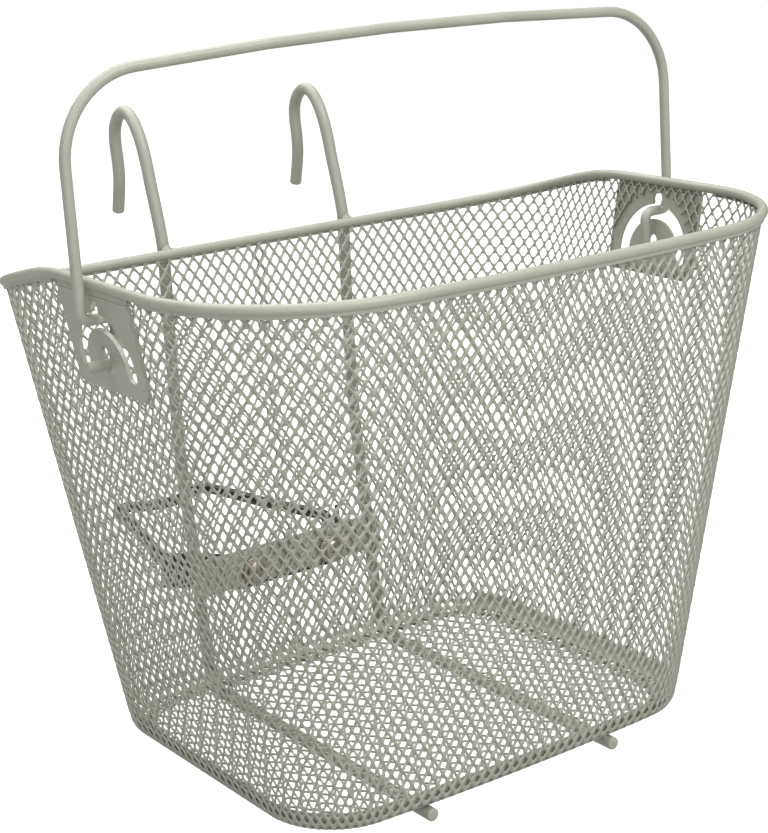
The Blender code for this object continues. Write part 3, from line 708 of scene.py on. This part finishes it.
def make_bail(mat):
    z = BOLT_Z
    half = [
        (0.0, 246.0, z, 0.0), (14.0, 247.8, z, 30.0), (30.5, 261.0, z, 7.0),
        (36.5, 236.0, z, 60.0), (43.0, 205.0, z, 80.0), (56.6, 159.2, z, 9.0),
        (45.6, 139.2, z, 0.0),
    ]
    path = rounded([(-x, y, zz, r) for x, y, zz, r in half[:0:-1]] + half, 9)
    keep = np.concatenate(([True], np.linalg.norm(np.diff(path, axis=0), axis=1) > 0.05))
    co, faces = sweep(path[keep], BAIL_R, 20, ends=0.6)
    obj = new_object("stay_bent_wire", co, faces, "basket", mat)
    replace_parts(obj, "stay_bail")


# ---------------------------------------------------------------- screws
def bolt_matrix(sign):
    """Bolt axis outward through the back wall, as local +Z."""
    return back_frame(sign * BOLT_X) @ Matrix.Rotation(math.radians(-90), 4, "X")


def make_screw(label, sign, mat):
    """Pan-head screw with a cross recess and a cut thread."""
    m = bolt_matrix(sign)
    end = NUT_Z + NUT_T + THREAD_PAST_NUT
    sides = 48
    co, faces = [], []
    turn = math.radians(27 if sign < 0 else -11)

    def ring(f):
        start = len(co)
        for k in range(sides):
            a = 2 * math.pi * k / sides
            r, z = f(a)
            co.append(tuple(m @ Vector((r * math.cos(a), r * math.sin(a), z))))
        return start

    def dome(r):
        return HEAD_Z - 0.5 - HEAD_H * math.sqrt(max(1 - (r / HEAD_DOME) ** 2.2, 0.0))

    def recess(r, a):
        """Depth of the cross recess at a point of the head."""
        x, y = abs(r * math.cos(a - turn)), abs(r * math.sin(a - turn))
        long, thin = max(x, y), min(x, y)
        wall = 0.55 + 0.12 * (2.9 - long)
        inside = min(max((wall - thin) / 0.22, 0.0), 1.0)
        inside *= min(max((2.9 - long) / 0.3, 0.0), 1.0)
        return inside * (1.2 + 0.35 * (2.9 - long))

    starts = []
    for r in (0.35, 0.7, 0.95, 1.2, 1.5, 1.8, 2.1, 2.4, 2.65, 2.85, 3.05, 3.5, 4.0, 4.5, 5.0,
              5.35):
        starts.append(ring(lambda a, r=r: (r, dome(r) + recess(r, a))))
    for r, z in ((HEAD_R, HEAD_Z - 0.9), (HEAD_R, HEAD_Z - 0.2), (HEAD_R - 0.15, HEAD_Z),
                 (3.1, HEAD_Z)):
        starts.append(ring(lambda a, r=r, z=z: (r, z)))
    z, step = HEAD_Z + 0.4, THREAD_PITCH / 8
    while z < end - 0.05:
        fade = min(1.0, (end - z) / 0.9)

        def thread(a, z=z, fade=fade):
            ph = (z / THREAD_PITCH - a / (2 * math.pi)) % 1.0
            crest = min(max((1 - abs(2 * ph - 1)) * 1.35 - 0.15, 0.0), 1.0)
            return (2.45 + 0.5 * crest) * (0.82 + 0.18 * fade), z
        starts.append(ring(thread))
        z += step
    for s0, s1 in zip(starts, starts[1:]):
        faces += band(s0, s1, sides)
    co.append(tuple(m @ Vector((0, 0, dome(0.0) + recess(0.0, 0.0)))))
    co.append(tuple(m @ Vector((0, 0, end - 0.1))))
    a, b = len(co) - 2, len(co) - 1
    for k in range(sides):
        k2 = (k + 1) % sides
        faces.append((a, starts[0] + k2, starts[0] + k))
        faces.append((b, starts[-1] + k, starts[-1] + k2))
    obj = new_object("screw_" + label, co, faces, "basket", mat)
    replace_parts(sharpen(obj, 45), "bolt_" + label)


def make_washer(label, sign, inside, mat):
    if inside:
        z1 = -(SHEET / 2 + GAP)
        z0, r = z1 - WASHER_T, WASHER_IN
    else:
        z0, r = WASHER_Z, WASHER_OUT
        z1 = z0 + WASHER_T
    h, e = WASHER_HOLE, 0.22
    profile = [(h, z0 + e), (h + e, z0), (r - e, z0), (r - e * 0.3, z0 + e * 0.3), (r, z0 + e),
               (r, z1 - e), (r - e * 0.3, z1 - e * 0.3), (r - e, z1), (h + e, z1), (h, z1 - e)]
    co, faces = lathe(profile, bolt_matrix(sign), 72)
    place = "inner" if inside else "outer"
    node = f"{place}_washer_{label}"
    obj = new_object(f"{place}_ring_{label}", co, faces, "basket", mat)
    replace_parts(sharpen(obj, 50), node)


def make_nut(label, sign, mat):
    """Hexagon nut, its corners chamfered on both faces, with a lead-in at the thread."""
    m = bolt_matrix(sign)
    z0, z1, flat, sides = NUT_Z, NUT_Z + NUT_T, NUT_FLAT, 96
    rows = []
    for k in range(sides):
        a = 2 * math.pi * k / sides
        b = (a + math.pi / 6) % (math.pi / 3) - math.pi / 6
        r = min(flat / math.cos(b), NUT_CORNER)
        drop = (r - flat * 0.96) * math.tan(math.radians(30))
        prof = [(3.0, z0 + 0.7), (3.5, z0), (flat * 0.95, z0), (r, z0 + drop), (r, z1 - drop),
                (flat * 0.95, z1), (3.5, z1), (3.0, z1 - 0.7), (2.75, z1 - 0.9), (2.75, z0 + 0.9)]
        rows.append([tuple(m @ Vector((q * math.cos(a), q * math.sin(a), z))) for q, z in prof])
    co = [q for row in rows for q in row]
    n = len(rows[0])
    faces = []
    for k in range(sides):
        k2 = (k + 1) % sides
        for j in range(n):
            j2 = (j + 1) % n
            faces.append((k * n + j, k2 * n + j, k2 * n + j2, k * n + j2))
    obj = new_object("hex_" + label, co, faces, "basket", mat)
    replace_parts(sharpen(obj, 24), "nut_" + label)


# ---------------------------------------------------------------- materials
def nodes_of(name):
    mat = bpy.data.materials.new(name)
    mat.use_nodes = True
    nt = mat.node_tree
    return mat, nt, nt.nodes["Principled BSDF"]


def noise(nt, scale, detail=2.0, rough=0.5, coord=None):
    n = nt.nodes.new("ShaderNodeTexNoise")
    n.inputs["Scale"].default_value = scale
    n.inputs["Detail"].default_value = detail
    n.inputs["Roughness"].default_value = rough
    nt.links.new(coord, n.inputs["Vector"])
    return n.outputs["Fac"]


def ramp(nt, value, stops):
    r = nt.nodes.new("ShaderNodeValToRGB")
    while len(r.color_ramp.elements) < len(stops):
        r.color_ramp.elements.new(0.5)
    for el, (pos, col) in zip(r.color_ramp.elements, stops):
        el.position = pos
        el.color = (*col, 1.0) if len(col) == 3 else col
    nt.links.new(value, r.inputs["Fac"])
    return r.outputs["Color"]


def spread(nt, value, low, high):
    r = nt.nodes.new("ShaderNodeMapRange")
    r.inputs["From Min"].default_value = 0.3
    r.inputs["From Max"].default_value = 0.7
    r.inputs["To Min"].default_value = low
    r.inputs["To Max"].default_value = high
    nt.links.new(value, r.inputs["Value"])
    return r.outputs["Result"]


def bump(nt, height, distance, strength=1.0, after=None):
    b = nt.nodes.new("ShaderNodeBump")
    b.inputs["Strength"].default_value = strength
    b.inputs["Distance"].default_value = distance
    nt.links.new(height, b.inputs["Height"])
    if after is not None:
        nt.links.new(after, b.inputs["Normal"])
    return b.outputs["Normal"]


def coordinates(nt):
    """Object coordinates, so the texture stays on the piece."""
    return nt.nodes.new("ShaderNodeTexCoord").outputs["Object"]


def paint_material(name, colour, rough=0.42, peel=0.00004):
    """Powder coat: fine orange peel, cloudy shade and gloss, a little grime in patches."""
    mat, nt, bsdf = nodes_of(name)
    pos = coordinates(nt)
    c = np.array(colour)
    base = ramp(nt, noise(nt, 38.0, 5.0, 0.6, pos),
                [(0.28, tuple(c * (0.93, 0.93, 0.92))), (0.5, tuple(c)), (0.74, tuple(c * 1.06))])
    dust = ramp(nt, noise(nt, 420.0, 3.0, 0.7, pos),
                [(0.30, (0.80, 0.79, 0.76)), (0.37, (1, 1, 1))])
    mix = nt.nodes.new("ShaderNodeMix")
    mix.data_type = "RGBA"
    mix.blend_type = "MULTIPLY"
    mix.inputs["Factor"].default_value = 0.55
    nt.links.new(base, mix.inputs["A"])
    nt.links.new(dust, mix.inputs["B"])
    nt.links.new(mix.outputs["Result"], bsdf.inputs["Base Color"])
    nt.links.new(spread(nt, noise(nt, 90.0, 4.0, 0.6, pos), rough - 0.05, rough + 0.07),
                 bsdf.inputs["Roughness"])
    coarse = bump(nt, noise(nt, 650.0, 2.0, 0.5, pos), peel)
    fine = bump(nt, noise(nt, 2600.0, 2.0, 0.6, pos), peel * 0.3, 0.6, coarse)
    nt.links.new(fine, bsdf.inputs["Normal"])
    bsdf.inputs["Specular IOR Level"].default_value = 0.5
    return mat


def zinc_material(name, colour):
    """Zinc plate: patchy grey, fine grain, uneven gloss."""
    mat, nt, bsdf = nodes_of(name)
    pos = coordinates(nt)
    c = np.array(colour)
    base = ramp(nt, noise(nt, 260.0, 5.0, 0.65, pos),
                [(0.3, tuple(c * (0.80, 0.78, 0.80))), (0.5, tuple(c)),
                 (0.72, tuple(c * (1.10, 1.06, 1.0)))])
    nt.links.new(base, bsdf.inputs["Base Color"])
    nt.links.new(spread(nt, noise(nt, 900.0, 4.0, 0.6, pos), 0.24, 0.42), bsdf.inputs["Roughness"])
    nt.links.new(bump(nt, noise(nt, 3200.0, 3.0, 0.6, pos), 0.000012), bsdf.inputs["Normal"])
    bsdf.inputs["Metallic"].default_value = 1.0
    return mat


# ---------------------------------------------------------------- CAD nodes that stay
def dress(node, mat, width):
    """Material and a small rounding of the edges for a piece used as the CAD made it."""
    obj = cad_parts[node]
    obj.data.materials.clear()
    obj.data.materials.append(mat)
    b = obj.modifiers.new("edge", "BEVEL")
    b.width = width * MM
    b.segments = 2
    b.limit_method = "ANGLE"
    b.angle_limit = math.radians(40)
    b.harden_normals = False


# ---------------------------------------------------------------- studio
CAM_AZ, CAM_EL, CAM_ROLL = math.radians(-35.82), math.radians(16.27), math.radians(-2.53)
CAM_AT = (-0.56724, -0.83145, 0.44918)
CAM_LENS = 85.57
FLOOR_HALF = 12.0
FLOOR_BOUNCE, FLOOR_SEEN = 0.22, 0.95       # the floor's own light, on the basket and to the eye
WORLD_LIGHT, WORLD_SEEN = 0.12, 1.0


def view_axes():
    back = Vector((math.sin(CAM_AZ) * math.cos(CAM_EL), -math.cos(CAM_AZ) * math.cos(CAM_EL),
                   math.sin(CAM_EL)))
    right = Vector((0, 0, 1)).cross(back).normalized()
    up = back.cross(right)
    r, u = math.cos(CAM_ROLL), math.sin(CAM_ROLL)
    return right * r + up * u, up * r - right * u, back


def make_camera():
    right, up, back = view_axes()
    cam = bpy.data.cameras.new("camera")
    cam.lens = CAM_LENS
    cam.sensor_width = 36.0
    cam.clip_start, cam.clip_end = 0.01, 60.0
    obj = bpy.data.objects.new("camera", cam)
    bpy.context.scene.collection.objects.link(obj)
    m = Matrix((right, up, back)).transposed().to_4x4()
    m.translation = Vector(CAM_AT)
    obj.matrix_world = m
    bpy.context.scene.camera = obj


def area_light(name, at, size, power):
    """A round soft light that faces the middle of the basket."""
    light = bpy.data.lights.new(name, "AREA")
    light.shape = "DISK"
    light.size = size
    light.energy = power
    obj = bpy.data.objects.new(name, light)
    bpy.context.scene.collection.objects.link(obj)
    obj.location = at
    obj.rotation_euler = (Vector((0, 0, 0.14)) - Vector(at)).to_track_quat("-Z", "Y").to_euler()


def make_studio():
    mat, nt, bsdf = nodes_of("floor_white")
    pos = coordinates(nt)
    base = ramp(nt, noise(nt, 3.0, 2.0, 0.5, pos),
                [(0.3, (0.35, 0.35, 0.35)), (0.7, (0.37, 0.37, 0.37))])
    nt.links.new(base, bsdf.inputs["Base Color"])
    bsdf.inputs["Roughness"].default_value = 0.9
    bsdf.inputs["Specular IOR Level"].default_value = 0.0
    bsdf.inputs["Emission Color"].default_value = (1.0, 1.0, 1.0, 1.0)
    seen = nt.nodes.new("ShaderNodeMapRange")
    seen.inputs["To Min"].default_value = FLOOR_BOUNCE
    seen.inputs["To Max"].default_value = FLOOR_SEEN
    nt.links.new(nt.nodes.new("ShaderNodeLightPath").outputs["Is Camera Ray"], seen.inputs["Value"])
    nt.links.new(seen.outputs["Result"], bsdf.inputs["Emission Strength"])
    me = bpy.data.meshes.new("floor")
    s = FLOOR_HALF
    me.from_pydata([(-s, -s, 0), (s, -s, 0), (s, s, 0), (-s, s, 0)], [], [(0, 1, 2, 3)])
    floor = bpy.data.objects.new("floor", me)
    me.materials.append(mat)
    bpy.context.scene.collection.objects.link(floor)
    world = bpy.data.worlds.new("studio")
    bpy.context.scene.world = world
    world.use_nodes = True
    wn = world.node_tree
    bg = wn.nodes["Background"]
    bg.inputs["Color"].default_value = (1, 1, 1, 1)
    bg.inputs["Strength"].default_value = WORLD_LIGHT
    seen = wn.nodes.new("ShaderNodeBackground")
    seen.inputs["Strength"].default_value = WORLD_SEEN
    path = wn.nodes.new("ShaderNodeLightPath")
    pick = wn.nodes.new("ShaderNodeMixShader")
    wn.links.new(path.outputs["Is Camera Ray"], pick.inputs["Fac"])
    wn.links.new(bg.outputs["Background"], pick.inputs[1])
    wn.links.new(seen.outputs["Background"], pick.inputs[2])
    wn.links.new(pick.outputs["Shader"], wn.nodes["World Output"].inputs["Surface"])
    area_light("key", (0.35, -1.35, 1.6), 1.4, 32.0)
    area_light("front", (-0.75, -1.2, 0.62), 1.0, 6.5)
    area_light("top", (0.1, 0.7, 1.6), 1.8, 31.0)
    area_light("left", (-0.95, -0.1, 1.55), 1.2, 9.0)
    bpy.context.scene.view_settings.view_transform = "Standard"


PAINT = (0.345, 0.348, 0.292)
BLACK = (0.012, 0.012, 0.013)
BLACK_ROUGH = 0.36
ZINC = (0.55, 0.52, 0.475)
PLATE_EDGE, BAR_EDGE = 0.35, 0.4            # rounding of the flat pieces' edges


def main():
    mesh_paint = paint_material("paint_mesh", PAINT)
    wire_paint = paint_material("paint_wire", PAINT)
    plate_paint = paint_material("paint_plate", PAINT)
    make_wall_mesh(mesh_paint)
    floor_paint = paint_material("paint_floor", PAINT)
    make_floor_mesh(floor_paint)
    make_floor_hem(floor_paint)
    make_rim(wire_paint)
    make_lip("lip_strip_front", "rim_lip_front", True, plate_paint)
    make_lip("lip_strip_back", "rim_lip_back", False, plate_paint)
    make_handle(paint_material("paint_handle", PAINT))
    make_bail(paint_material("black_wire", BLACK, BLACK_ROUGH))
    for label, sign in (("left", -1), ("right", 1)):
        zinc = zinc_material("zinc_" + label, ZINC)
        make_rod(label, sign, wire_paint)
        make_weld(label, sign, wire_paint)
        make_plate_weld(label, sign, plate_paint)
        make_screw(label, sign, zinc)
        make_washer(label, sign, True, zinc)
        make_washer(label, sign, False, zinc)
        make_nut(label, sign, zinc)
        dress("side_plate_" + label, plate_paint, PLATE_EDGE)
    dress("back_strap", paint_material("paint_strap", PAINT), PLATE_EDGE)
    dress("stay_base", paint_material("black_bar", BLACK, BLACK_ROUGH), BAR_EDGE)
    make_studio()
    make_camera()


main()
